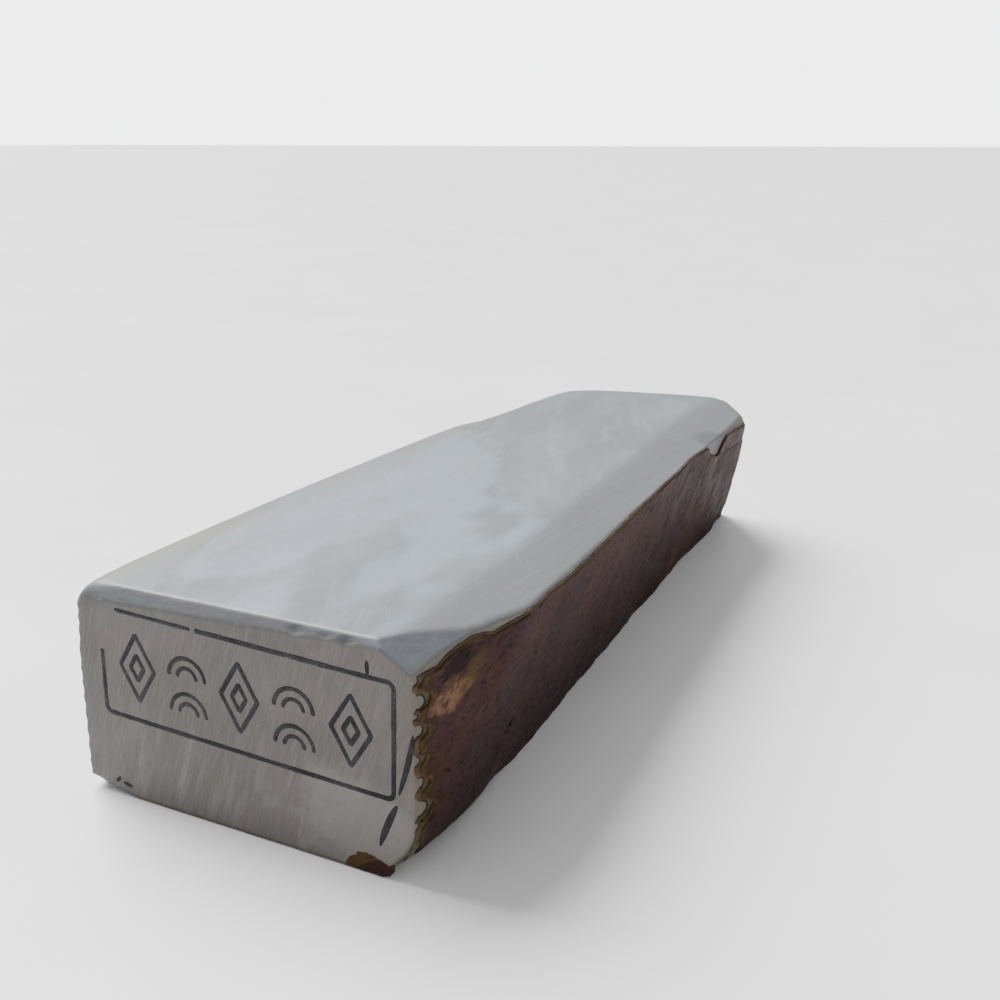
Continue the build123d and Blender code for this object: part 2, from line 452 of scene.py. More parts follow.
side = dict(
    skinThick=0.62,
    flake=0.1,  # the far patch lies this much lower
    flakeThick=0.5,
    # the skin's upper edge at the chip: place along the stone and height
    notchLine=(
        (40, 60),
        (44.6, 38.6),
        (46.2, 36.2),
        (48.6, 34.4),
        (53.2, 32.2),
        (58, 30.8),
        (63, 30.6),
        (110, 26.5),
    ),
    notchRagged=0.3,
    flakeLap=0.6,  # the far patch reaches this far below that line
    # front margin of the far patch: height and place along the stone
    farPatchFrom=((22, 58), (30.6, 61.2), (34, 63.2), (36.4, 66.5), (37.6, 72), (38.8, 84), (44, 88)),
    # how far the skin's edge drops below the ground faces near the stamped end
    droop=(
        (-102.4, 0),
        (-99.6, 0.7),
        (-97, 1.25),
        (-94.2, 0.5),
        (-90, 0.25),
        (-87.4, 0.3),
        (-85, 1.15),
        (-81.5, 0.5),
        (-76, 0.1),
    ),
    lip=0.12,  # elsewhere the skin's edge stands this much below them
    lipRagged=0.22,
    patchRagged=0.5,
    endDrop=(0.8, 82, 90),  # and this much lower still behind the far end's worn edge, from here to there
    frontGap=0.25,  # the skin's margin stands at least this far back from the stamped end
    frontRagged=((0.9, 5.0), (0.8, 1.7)),  # and wanders by about this, depth and size
    # it has broken farther back at the foot: height and how far
    footBreak=((0, 7.0), (2.5, 5.2), (5, 2.8), (8, 0.8), (11, 0)),
    # round bites out of the front margin: height, radius and depth
    bites=(
        (35.6, 0.8, 1.0),
        (31.8, 1.7, 2.4),
        (29.6, 0.6, 1.1),
        (27.1, 1.3, 1.9),
        (22.2, 0.8, 1.1),
        (18.4, 1.2, 1.7),
        (13.8, 1.9, 2.5),
        (10.8, 0.6, 1.0),
    ),
    # gashes lie along the bedding: place along and height of the middle, half length, half width,
    # depth and slope
    gashes=(
        (-72.2, 14.2, 3.2, 0.9, 0.40, 0.5),
        (-72.9, 18.8, 2.0, 0.6, 0.32, 0.3),
        (-74.6, 33.2, 1.2, 0.3, 0.25, 0.9),
        (-68.2, 29.7, 0.7, 0.4, 0.30, 0.0),
        (-55.8, 33.8, 0.8, 0.4, 0.30, 0.0),
        (-45.1, 31.8, 2.2, 0.35, 0.25, 0.7),
        (71.0, 5.5, 2.4, 1.0, 0.36, 0.3),
        (60.0, 9.0, 1.6, 0.7, 0.30, 0.4),
    ),
    bedding=31,  # degrees that the bedding rises towards the far end
    grain=(0.10, (2.0, 2.6, 1.9)),  # relief of the skin: depth and size
    flakes=(0.13, (9, 13, 7)),
    pits=(0.26, (1.6, 1.9, 1.2)),
    alongSteps=((0, 0.03, 26), (0.03, 0.14, 56), (0.14, 1, 330)),
    upSteps=((0, 0.12, 12), (0.12, 0.86, 62), (0.86, 1, 20)),
    fade=(3, 1.1),  # a margin's wander dies out over this much plus this many times its own depth
    leastRise=4,
    roughStart=(30, 200, 38),  # place across, length and height that the rounds set out from
    rounds=9,
)
rind = dict(
    thick=0.88,  # the stained layer's inner face lies this far below the skin's outer face
    inSkin=0.18,  # and its outer face this deep in the skin
    aboveSkin=(0.06, 0.10, 2.0),  # its upper edge shows this much above the skin's, give or take, and size
    below=0.06,  # and stays this far below the ground faces
    aheadOfPatch=0.1,  # it shows this far ahead of the far patch's margin
    patchFrom=60,  # which is the nearer margin from this place on
    frontGap=0.06,
    frontRagged=(0.2, 1.6),
    bites=0.45,  # its bites and its break at the foot are this share of the skin's
    footBreak=0.75,
    crust=(0.22, 1.5),  # depth and size of its crust, which ends between these distances from the front
    crustEnd=(3.0, 8),
    pits=0.55,  # depth of the pits behind the bites
)


def sideGrid(inset, relief, topOf, frontOf, fromZ=None):
    # u runs along the stone and v up the side. y = base + u * run + late * (1 - u)^k, where late is how
    # far the front margin stands behind its foremost place, so the margin's wander dies out within a
    # few millimetres; z does the same below the upper edge, and x = side(y, z) less the inset and
    # relief. A few rounds settle the three together, from a rough start
    u, v = np.meshgrid(unevenSteps(side["alongSteps"]), unevenSteps(side["upSteps"]), indexing="ij")
    across, length, height = side["roughStart"]
    x, y, z = np.full(u.shape, float(across)), frontY + u * length, v * height
    fadeLeast, fadeMore = side["fade"]
    for _ in range(side["rounds"]):
        top = topOf(x, y)
        low = 0 * y if fromZ is None else fromZ(y)
        rise, short = np.maximum(top.max() - low, side["leastRise"]), top.max() - top
        z = low + v * rise - short * v ** (rise / (fadeLeast + fadeMore * short))
        x = sideX(y, z, sideRelief(y, z) + inset)
        first = frontOf(z)
        run, late = farY(x, z) - first.min(), first - first.min()
        y = first.min() + u * run + late * (1 - u) ** (run / (fadeLeast + fadeMore * late))
    return np.stack([x - relief(y, z), y, z], -1)


def edgeNoise(a, b, size, seed):
    # a ragged wander read at two numbers, from -1 to 1
    return layeredNoise(np.stack([a, b, 0 * a], -1), size, seed, 3, 0.6)


def endDrop(y):
    # the layers stop lower at the far end, behind its worn edge
    drop, begin, end = side["endDrop"]
    return drop * ramp(y, begin, end)


def ragged(t, size, seed):
    # how far a broken edge wanders, from 0, read along it
    return np.abs(edgeNoise(t, 0 * t, size, seed))


def skinTop(x, y):
    # the skin stops a ragged lip below the ground top, droops near the stamped end, and follows the
    # chip's line near the far end
    lip = side["lip"] + side["lipRagged"] * ragged(y, 3.5, 15) + lineAt(side["droop"], y)
    notch = lineAt(side["notchLine"], y) + side["notchRagged"] * edgeNoise(y, 0 * y, 3.0, 16)
    return np.minimum(upperZ(x, y) - lip - endDrop(y), notch)


def biteDepth(z, share):
    # each bite is a half ellipse about its own height, bent a little out of shape
    total = 0 * z
    bent = z + 0.4 * edgeNoise(z, 0 * z, 1.2, 23)
    for height, radius, depth in side["bites"]:
        arch = np.sqrt(np.clip(1 - ((bent - height) / radius) ** 2, 0, 1))
        total = np.maximum(total, depth * share * arch)
    return total * (1 + 0.4 * edgeNoise(z, 0 * z, 1.5, 24))


def skinFront(z):
    # the broken front margin: a slow and a quick wander, round bites, and a bigger break at the foot
    (slow, slowSize), (quick, quickSize) = side["frontRagged"]
    wander = slow * (0.35 + 0.65 * ragged(z, slowSize, 25)) + quick * ragged(z, quickSize, 29)
    foot = lineAt(side["footBreak"], z) * (1 + 0.2 * edgeNoise(z, 0 * z, 2.2, 26))
    return frontY + side["frontGap"] + wander + np.maximum(biteDepth(z, 1.0), foot)


def beddingPlace(y, z):
    # along and across the bedding
    slope = radians(side["bedding"])
    return y * np.cos(slope) + z * np.sin(slope), z * np.cos(slope) - y * np.sin(slope)


def gashDepth(y, z):
    # each gash is depth * (1 - r^2)^1.5 inside its own ellipse, with a ragged rim
    total = 0 * y
    p = np.stack([0 * y, y, z], -1)
    rag = 1 + 0.45 * layeredNoise(p, 1.6, 37, 2)
    for middle, height, half, wide, depth, slope in side["gashes"]:
        a, b = y - middle, z - height
        turn = np.hypot(1, slope)
        u, v = (a + b * slope) / turn, (b - a * slope) / turn
        away = ((u / half) ** 2 + (v / wide) ** 2) * rag
        total = np.maximum(total, depth * np.clip(1 - away, 0, 1) ** 1.5)
    return total


def skinRelief(y, z):
    # fine grain along the bedding, shallow flakes, short pits and the gashes
    p = np.stack([0 * y, *beddingPlace(y, z)], -1)
    (grain, grainSize), (flake, flakeSize), (pit, pitSize) = (side[k] for k in ("grain", "flakes", "pits"))
    fine = grain * layeredNoise(p, grainSize, 33, 2, 0.7)
    flakes = flake * ramp(layeredNoise(p, flakeSize, 34, 3), -0.05, 0.25)
    pits = pit * ramp(layeredNoise(p, pitSize, 35, 2), 0.56, 0.82)
    return fine + flakes + pits + gashDepth(y, z) - 0.03


def frontDistance(p, frontOf, topOf):
    # millimetres from each point to the front margin and to the top margin
    toFront = p[..., 1] - frontOf(p[..., 2])
    toTop = topOf(p[..., 0], p[..., 1]) - p[..., 2]
    return np.maximum(toFront, 0), np.maximum(toTop, 0)


def even(y, z):
    # the unseen back of a layer has no relief
    return 0 * y


def buildSkin(material):
    outer = sideGrid(0.0, skinRelief, skinTop, skinFront)
    inner = sideGrid(side["skinThick"], even, skinTop, skinFront)
    points, faces = closedSheet(outer, inner)
    toFront, toTop = frontDistance(points, skinFront, skinTop)
    toTop = toTop + 6 * ramp(points[:, 1], 59.5, 61.5)  # no stained margin under the far patch
    marks = dict(toFront=toFront, toTop=toTop, gash=gashDepth(points[:, 1], points[:, 2]))
    return makePiece("naturalSkin", points, faces, "side_skin", material, marks)


def patchFront(z):
    return lineAt(side["farPatchFrom"], z) + side["notchRagged"] * edgeNoise(z, 0 * z, 3.0, 27)


def patchTop(x, y):
    return upperZ(x, y) - side["lip"] - side["patchRagged"] * ragged(y, 3.5, 17) - endDrop(y)


def patchFoot(y):
    return lineAt(side["notchLine"], y) - side["flakeLap"]


def buildFarPatch(material):
    outer = sideGrid(side["flake"], skinRelief, patchTop, patchFront, patchFoot)
    inner = sideGrid(side["flake"] + side["flakeThick"], even, patchTop, patchFront, patchFoot)
    points, faces = closedSheet(outer[::2, ::2], inner[::2, ::2])
    toFront, toTop = frontDistance(points, patchFront, patchTop)
    marks = dict(toFront=toFront + 0.5, toTop=toTop, gash=0 * toTop)
    return makePiece("farSkinPatch", points, faces, "far_skin", material, marks)


def rindTop(x, y):
    # a hair above the skin's edge everywhere, and just ahead of the far patch's front margin
    heights, places = np.array(side["farPatchFrom"]).T
    patch = np.interp(y + rind["aheadOfPatch"], places, heights)
    rise, more, size = rind["aboveSkin"]
    overSkin = skinTop(x, y) + rise + more * edgeNoise(y, 0 * y, size, 18)
    most = upperZ(x, y) - rind["below"] - endDrop(y)
    return np.minimum(most, np.maximum(overSkin, np.where(y > rind["patchFrom"], patch, 0)))


def rindFront(z):
    # the stained layer's own front margin: smaller bites, and a smaller break at the foot
    depth, size = rind["frontRagged"]
    wander = rind["frontGap"] + depth * ragged(z, size, 28)
    foot = rind["footBreak"] * lineAt(side["footBreak"], z)
    return frontY + wander + np.maximum(biteDepth(z, rind["bites"]), foot)


def rindRelief(y, z):
    # crusty near the front margin, with round pits behind the bites, and even elsewhere
    p = np.stack([0 * y, y, z], -1)
    fromFront = y - frontY
    near = 1 - ramp(fromFront, *rind["crustEnd"])
    crust = rind["crust"][0] * layeredNoise(p, rind["crust"][1], 43, 3, 0.6)
    pits = 0 * y
    for height, radius, depth in side["bites"]:
        reach = ((z - height) / radius) ** 2 + ((fromFront - depth * 0.55) / (0.6 * depth)) ** 2
        pits = np.maximum(pits, rind["pits"] * np.clip(1 - reach, 0, 1) ** 0.7)
    return (near * crust + pits) * ramp(fromFront, 0.0, 0.5) + 0.02


def buildRind(material):
    outer = sideGrid(side["skinThick"] - rind["inSkin"], rindRelief, rindTop, rindFront)
    inner = sideGrid(rind["thick"], even, rindTop, rindFront)
    points, faces = closedSheet(outer, inner)
    toFront, toTop = frontDistance(points, rindFront, rindTop)
    pit = rindRelief(points[:, 1], points[:, 2])
    marks = dict(toFront=toFront, toTop=toTop, pit=pit)
    return makePiece("stainedLayer", points, faces, "weathered_rind", material, marks)


# a scrap of skin on the foot of the stamped end; its outline is two lines over x, crest and foot
scrap = dict(
    crest=((17.2, 0.25), (18.4, 2.2), (20.2, 3.7), (22.3, 4.25), (24.4, 3.5), (25.6, 3.0), (26.8, 2.6)),
    foot=((17.2, 0.15), (24.6, 0.12), (26.0, 0.6), (26.8, 1.6)),
    proud=0.16,
    brown=((17.2, 0.0), (20.0, 0.6), (22.0, 2.1), (23.8, 2.9), (26.8, 2.5)),  # the dark skin's own crest
    steps=(110, 34),
)


def buildScrap(material):
    # u runs across and v up between foot and crest: y = face - proud * (1 - (2v - 1)^6) * (1 - (2u - 1)^6),
    # a low pillow whose rim is sunk in the face, thicker below the dark skin's own crest
    u, v = np.meshgrid(*(np.linspace(0, 1, n) for n in scrap["steps"]), indexing="ij")
    x = scrap["crest"][0][0] + u * (scrap["crest"][-1][0] - scrap["crest"][0][0])
    low, high = lineAt(scrap["foot"], x), lineAt(scrap["crest"], x)
    high = high + 0.16 * edgeNoise(x, 0 * x, 1.3, 53)
    z = low + v * np.maximum(high - low, 0.04)
    p = np.stack([x, 0 * x, z], -1)
    pillow = (1 - (2 * v - 1) ** 6) * (1 - (2 * u - 1) ** 6)
    brown = ramp(lineAt(scrap["brown"], x) + 0.35 * edgeNoise(x, z, 1.2, 55) - z, -0.15, 0.25)
    bulge = pillow * (scrap["proud"] * (0.5 + 0.5 * brown) + 0.06 * layeredNoise(p, 1.2, 54, 3, 0.6)) - 0.05
    outer = np.stack([x, frontY - bulge, z], -1)
    inner = np.stack([x, 0 * x + frontY + 0.4, z], -1)
    points, faces = closedSheet(outer, inner)
    # marked as margin above the brown, so it is stained there, and as far from one elsewhere
    toFront = np.tile(np.where(brown > 0.5, 9.0, 0.0).ravel(), 2)
    marks = dict(toFront=toFront, toTop=0 * toFront + 9, gash=0 * toFront)
    return makePiece("cornerScrap", points, faces, "corner_skin", material, marks)


stamp = dict(
    centre=(-1.85, 25.55),
    tilt=-1.7,
    size=(58.7, 20.0),
    line=0.9,
    corner=1.2,
    figureStep=10.8,
    figureSize=(8.4, 14.0),
    lozenges=(0.88, 0.34),  # the lines of the two nested lozenges, as shares of the figure's size
    figureLine=0.86,
    waveRadii=(3.8, 2.0),
    waveHeights=(-6.0, 0.6),
    waveLine=0.8,
    proud=0.045,  # the dried ink stands this far off the face
    sunk=0.05,  # and reaches this far into it
    lineStep=0.22,  # spacing of the points along a line
    gap=(-9.3, -8.6),  # where the top line is broken
    topStart=-25.9,  # where it begins, short of the corner
    leftEnd=2.0,  # and where the left line ends
)
brushed = dict(
    # start, end, width and bow of each tick
    ticks=(
        ((31.0, 26.8), (28.1, 15.8), 1.05, 0.25),
        ((27.8, 14.0), (24.3, 5.6), 1.2, -0.2),
        ((-31.2, 2.3), (-30.0, 3.6), 0.7, 0.0),
        ((-29.6, 2.6), (-27.3, 2.2), 0.75, 0.05),
        ((23.1, 37.6), (23.2, 34.9), 0.85, 0.0),
    ),
)


def evenly(points, step, closed=False):
    # the corner points' line read at even distances along it
    points = np.array(points, float)
    if closed:
        points = np.vstack([points, points[:1]])
    run = np.concatenate([[0], np.cumsum(np.linalg.norm(np.diff(points, axis=0), axis=1))])
    s = np.linspace(0, run[-1], max(int(run[-1] / step), 6))
    return np.stack([np.interp(s, run, points[:, k]) for k in (0, 1)], -1), s


def inkLine(points, width, seed, closed=False, taper=0.0, around=9):
    # a flat lens carried along a path: across = width/2 * cos, out = proud * sin above the face and
    # sunk * sin below it; the width and the path wander, and open ends close to a point
    path, s = evenly(points, stamp["lineStep"], closed)
    where = np.column_stack([s, 0 * s, 0 * s])
    if closed:
        lap = 2 * pi * s / s[-1]
        where = np.column_stack([np.stack([np.cos(lap), np.sin(lap)], -1) * s[-1] / (2 * pi), 0 * s])
    wander = layeredNoise(where, 1.5, seed, 3, 0.7)
    drift = layeredNoise(where + 40, 6.0, seed + 3, 2)
    tangent = np.gradient(path, axis=0)
    if closed:
        tangent[0] = tangent[-1] = path[1] - path[-2]
    tangent /= np.linalg.norm(tangent, axis=1)[:, None] + 1e-9
    across = np.stack([-tangent[:, 1], tangent[:, 0]], -1)
    half = width / 2 * (1 + 0.16 * wander)
    if not closed:
        ends = np.clip(np.minimum(s, s[-1] - s) / max(width * 0.5, taper * s[-1], 1e-6), 0, 1)
        half = half * np.sqrt(1 - (1 - ends) ** 2)
    centre = path + across * (0.07 * drift)[:, None]
    turn = np.linspace(0, 2 * pi, around)
    spread = half[:, None] * np.cos(turn)
    full = np.clip(half / (width * 0.5), 0, 1)[:, None]
    out = np.where(np.sin(turn) > 0, stamp["proud"], stamp["sunk"]) * np.sin(turn) * full
    flat = centre[:, None, :] + across[:, None, :] * spread[..., None]
    return flat, out


def stampPlace(flat):
    # turned by the stamp's tilt and moved to its centre on the stamped end
    a = radians(stamp["tilt"])
    u, v = flat[..., 0], flat[..., 1]
    x = stamp["centre"][0] + u * np.cos(a) - v * np.sin(a)
    z = stamp["centre"][1] + u * np.sin(a) + v * np.cos(a)
    return np.stack([x, z], -1)


def buildInk(name, node, lines, material, placed):
    # all the lines of one ink, laid on the stamped end
    points, faces, count = [], [], 0
    for flat, out in lines:
        flat = placed(flat)
        grid = np.stack([flat[..., 0], frontY - out, flat[..., 1]], -1)
        faces.append(gridFaces(*grid.shape[:2], count))
        points.append(grid.reshape(-1, 3))
        count += len(points[-1])
    return makePiece(name, np.concatenate(points), np.concatenate(faces), node, material)


def borderLines():
    # a rectangle with small round corners; its upper left corner and a spot on its top line missed the ink
    w, h, r = stamp["size"][0] / 2, stamp["size"][1] / 2, stamp["corner"]
    corners = [[(stamp["gap"][1], h)]]
    for k, (cx, cz) in ((0, (w - r, h - r)), (3, (w - r, r - h)), (2, (r - w, r - h))):
        turn = np.linspace((k + 1) * pi / 2, k * pi / 2, 6)
        corners.append(np.stack([cx + r * np.cos(turn), cz + r * np.sin(turn)], -1))
    corners.append([(-w, stamp["leftEnd"])])
    top = inkLine(((stamp["topStart"], h), (stamp["gap"][0], h)), stamp["line"] * 0.8, 62, taper=0.05)
    return [inkLine(np.concatenate(corners), stamp["line"], 61), top]


def figureLines():
    # nested lozenges, four-cornered and closed, with pairs of half circles between them
    lines = []
    for i in range(5):
        u = stamp["figureStep"] * (i - 2)
        if i % 2 == 0:
            for n, share in enumerate(stamp["lozenges"]):
                a, b = stamp["figureSize"][0] / 2 * share, stamp["figureSize"][1] / 2 * share
                corners = ((u + a, 0), (u, b), (u - a, 0), (u, -b))
                lines.append(inkLine(corners, stamp["figureLine"], 70 + 5 * i + n, closed=True))
        else:
            for n, height in enumerate(stamp["waveHeights"]):
                for m, radius in enumerate(stamp["waveRadii"]):
                    turn = np.linspace(0, pi, 24)
                    arc = np.stack([u + radius * np.cos(turn), height + radius * np.sin(turn)], -1)
                    lines.append(inkLine(arc, stamp["waveLine"], 90 + 7 * i + 3 * n + m))
    return lines


def brushLines():
    # each tick is a bowed line, thickest at its middle
    lines = []
    for n, (first, last, width, bow) in enumerate(brushed["ticks"]):
        t = np.linspace(0, 1, 12)[:, None]
        first, last = np.array(first), np.array(last)
        across = np.array([-(last - first)[1], (last - first)[0]]) / np.linalg.norm(last - first)
        path = first + (last - first) * t + across * bow * np.sin(pi * t)
        lines.append(inkLine(path, width, 130 + 4 * n, taper=0.45))
    return lines


def newFinish(name):
    # a material, and a short way to add nodes to it and join them
    material = bpy.data.materials.new(name)
    material.use_nodes = True
    tree = material.node_tree
    tree.nodes.clear()

    def add(kind, inputs=None, output=0, **settings):
        node = tree.nodes.new("ShaderNode" + kind)
        for key, value in settings.items():
            setattr(node, key, value)
        for socket, value in (inputs or {}).items():
            if isinstance(value, bpy.types.NodeSocket):
                tree.links.new(value, node.inputs[socket])
            else:
                node.inputs[socket].default_value = value
        return node.outputs[output] if node.outputs else None

    return material, add


def inMillimetres(add, scale=(1, 1, 1), turn=(0, 0, 0)):
    # Object coordinates, turned, and then counted in cells of this many millimetres
    place = add("TexCoord", output=3)
    turned = add("Mapping", {"Vector": place, "Rotation": tuple(radians(a) for a in turn)})
    return add("Mapping", {"Vector": turned, "Scale": tuple(perMetre / s for s in scale)})


def pattern(add, spec):
    # a noise whose cell is size in millimetres, turned by degrees, with its detail, roughness and shift
    size, turn, detail, rough, shift = spec
    where = inMillimetres(add, size, turn)
    inputs = {"Vector": where, "Scale": 1.0, "Detail": detail, "Roughness": rough, "W": shift}
    return add("TexNoise", inputs, noise_dimensions="4D")


def grains(add, size):
    # distance to the nearest of scattered grains, in cells
    return add("TexVoronoi", {"Vector": inMillimetres(add, (size, size, size)), "Scale": 1.0}, 0)


def between(add, value, low, high, to=(0.0, 1.0)):
    # smoothly from the first to the second of two values as the input goes from low to high
    inputs = {"Value": value, "From Min": low, "From Max": high, "To Min": to[0], "To Max": to[1]}
    return add("MapRange", inputs, interpolation_type="SMOOTHSTEP")


def maths(add, operation, a, b):
    return add("Math", {0: a, 1: b}, operation=operation)


def times(add, a, b):
    return maths(add, "MULTIPLY", a, b)


def plus(add, a, b):
    return maths(add, "ADD", a, b)


def blend(add, factor, a, b):
    def rgba(c):
        return c if isinstance(c, bpy.types.NodeSocket) else (*c, 1.0)

    return add("Mix", {0: factor, 6: rgba(a), 7: rgba(b)}, 2, data_type="RGBA", blend_type="MIX")


def spot(add, place, torn):
    # 1 inside an ellipsoid in millimetres, fading out at its rim, whose distance is torn by a noise
    centre, size, turn, amount = place
    inputs = {
        "Vector": add("TexCoord", output=3),
        "Location": tuple(v / perMetre for v in centre),
        "Rotation": tuple(radians(a) for a in turn),
        "Scale": tuple(v / perMetre for v in size),
    }
    within = add("Mapping", inputs, vector_type="TEXTURE")
    away = add("VectorMath", {0: within}, 1, operation="LENGTH")
    away = plus(add, away, between(add, torn, 0.3, 0.7, (-amount / 2, amount / 2)))
    return between(add, away, 1.0, 0.45)


def placeOn(add, axis):
    # a place along one axis, in millimetres
    return add("SeparateXYZ", {0: inMillimetres(add)}, axis)


def mark(add, name):
    # a value that the piece carries at its points
    return add("Attribute", output=2, attribute_name=name)


def closeFinish(add, colour, roughness, height, depth, specular=0.5):
    # depth is the height of the relief in millimetres
    bump = add("Bump", {"Strength": 1.0, "Distance": depth / perMetre, "Height": height})
    inputs = {"Base Color": colour, "Roughness": roughness, "Normal": bump, "Specular IOR Level": specular}
    surface = add("BsdfPrincipled", inputs)
    add("OutputMaterial", {"Surface": surface})


level = (0, 0, 0)
sawLean = (0, -18, 0)  # the saw marks lean this many degrees from upright
stoneFinish = dict(
    honedGreen=(0.145, 0.161, 0.172),
    # a bluish tone, partly the stone's own and partly painted sheen of the sky
    honedBlueAndSheen=(0.224, 0.261, 0.304),
    haze=(0.310, 0.340, 0.365),
    olive=(0.190, 0.186, 0.140),
    # partly the band's own tone, partly painted shade of its tilt
    bandToneAndShade=(0.118, 0.125, 0.126),
    sawnWarm=(0.094, 0.083, 0.074),
    sawnPink=(0.103, 0.084, 0.077),
    sawnGreen=(0.086, 0.086, 0.078),
    sawnPale=(0.180, 0.169, 0.155),
    # tones of the ground facets: the chamfer's darker one is partly painted shade, the corner facet's
    # lighter one partly painted light; the darker one is also the colour of the painted shade at the honed
    # edges and in the chip
    groundTone=(0.064, 0.069, 0.078),
    facetTone=(0.102, 0.111, 0.126),
    # pale fresh stone on broken edges, with painted glints
    chipPaleAndGlint=(0.420, 0.435, 0.445),
    speck=(0.380, 0.400, 0.410),
    darkSpeck=(0.062, 0.064, 0.062),
    stain=(0.125, 0.104, 0.060),
    footLine=(0.060, 0.034, 0.026),
    honedGloss=0.38,
    sawnGloss=0.66,
    bump=0.10,
    # cell size in millimetres, turn in degrees, detail, roughness and shift
    cloud=((13, 22, 13), level, 4.0, 0.6, 3.0),
    soft=((15, 34, 15), (0, 0, -10), 2.0, 0.4, 3.5),
    hazy=((5, 42, 9), (0, 0, -24), 4.0, 0.6, 4.0),
    fine=((0.9, 0.9, 0.9), level, 4.0, 0.65, 5.0),
    tinge=((9, 34, 9), (0, 0, 6), 2.0, 0.5, 6.0),
    bandLines=((0.45, 60, 6), (0, 0, 4), 2.0, 0.5, 8.0),
    streakWide=((1.9, 9, 16), sawLean, 4.0, 0.62, 7.0),
    streakFine=((0.42, 6, 6.5), sawLean, 3.0, 0.6, 9.0),
    mottle=((9, 9, 7), level, 3.0, 0.6, 11.0),
    glint=((0.8, 0.8, 0.8), level, 2.0, 0.5, 13.0),
    scratchLong=((0.25, 26, 26), (0, 0, 4), 2.0, 0.5, 15.0),
    scratchCross=((0.3, 18, 18), (0, 0, -38), 2.0, 0.5, 17.0),
    scuff=((0.5, 1.7, 1), (0, 0, 30), 2.0, 0.5, 19.0),
    paleGrain=1.9,
    darkGrain=3.4,
    # centre, half sizes, turn and how torn the rim is
    # the bluish cloud: partly the stone's tone, partly painted reflection of the sky
    blueAndSheenCloud=((-16, -36, 40), (38, 84, 30), (0, 0, 12), 1.0),
    paleFoot=((21, -102, 8), (19, 30, 11), level, 0.5),
    # the chip spot is painted shade in the chip's hollow
    chip=((31, 55, 35), (9, 11, 8), level, 0.3),
)


def honedTone(add, cloud, across, band):
    # greenish with a bluish cloud in its middle, partly the stone's own tone and partly painted sheen of
    # the sky, hazy streaks, an olive tinge on the old left edge, and a band along the right painted darker,
    # partly its own tone and partly painted shade of its tilt, with fine lines in it
    c = stoneFinish
    soft = pattern(add, c["soft"])
    wisps = between(add, soft, 0.42, 0.74, (0.0, 0.45))
    blueAndSheen = maths(add, "MAXIMUM", spot(add, c["blueAndSheenCloud"], soft), wisps)
    tone = blend(add, blueAndSheen, c["honedGreen"], c["honedBlueAndSheen"])
    tone = blend(add, between(add, pattern(add, c["hazy"]), 0.48, 0.74, (0.0, 0.36)), tone, c["haze"])
    old = times(add, between(add, across, -22.0, -36.0), between(add, cloud, 0.34, 0.62, (0.15, 0.8)))
    tinge = between(add, pattern(add, c["tinge"]), 0.52, 0.76, (0.0, 0.3))
    tone = blend(add, maths(add, "MAXIMUM", old, tinge), tone, c["olive"])
    # the band darkened, partly painted shade of its tilt
    tone = blend(add, times(add, band, 0.9), tone, c["bandToneAndShade"])
    lines = between(add, pattern(add, c["bandLines"]), 0.52, 0.70)
    return blend(add, times(add, lines, times(add, band, 0.13)), tone, c["haze"])


def sawnTone(add, cloud, streakFine, sawn):
    # warm mottling under leaning streaks, which are paler and stronger low down; a pale patch at the
    # right foot, and a stained line along the very foot
    c = stoneFinish
    height = placeOn(add, 2)
    mottle = pattern(add, c["mottle"])
    tone = blend(add, between(add, mottle, 0.38, 0.62), c["sawnGreen"], c["sawnPink"])
    tone = blend(add, between(add, cloud, 0.40, 0.60), tone, c["sawnWarm"])
    tone = blend(add, between(add, height, 22.0, 9.0, (0.0, 0.14)), tone, c["sawnPale"])
    lower = between(add, height, 22.0, 9.0, (0.10, 0.62))
    lower = times(add, lower, between(add, sawn, 0.0, 1.0, (0.2, 1.0)))
    wide = between(add, pattern(add, c["streakWide"]), 0.46, 0.66)
    tone = blend(add, times(add, wide, lower), tone, c["sawnPale"])
    tone = blend(add, between(add, streakFine, 0.46, 0.64, (0.0, 0.26)), tone, c["sawnPale"])
    tone = blend(add, between(add, streakFine, 0.46, 0.34, (0.0, 0.30)), tone, c["darkSpeck"])
    tone = blend(add, times(add, spot(add, c["paleFoot"], mottle), 0.72), tone, c["sawnPale"])
    return blend(add, between(add, height, 1.0, 0.3, (0.0, 0.8)), tone, c["footLine"])


def honingMarks(add, cloud, honed):
    # long thin scratches two ways, and a few short scuffs
    c = stoneFinish
    scratchLong = between(add, pattern(add, c["scratchLong"]), 0.62, 0.72)
    scratchCross = between(add, pattern(add, c["scratchCross"]), 0.64, 0.74)
    scuff = between(add, pattern(add, c["scuff"]), 0.69, 0.75)
    scuff = times(add, scuff, between(add, cloud, 0.45, 0.6))
    return times(add, plus(add, plus(add, scratchLong, scratchCross), scuff), honed)


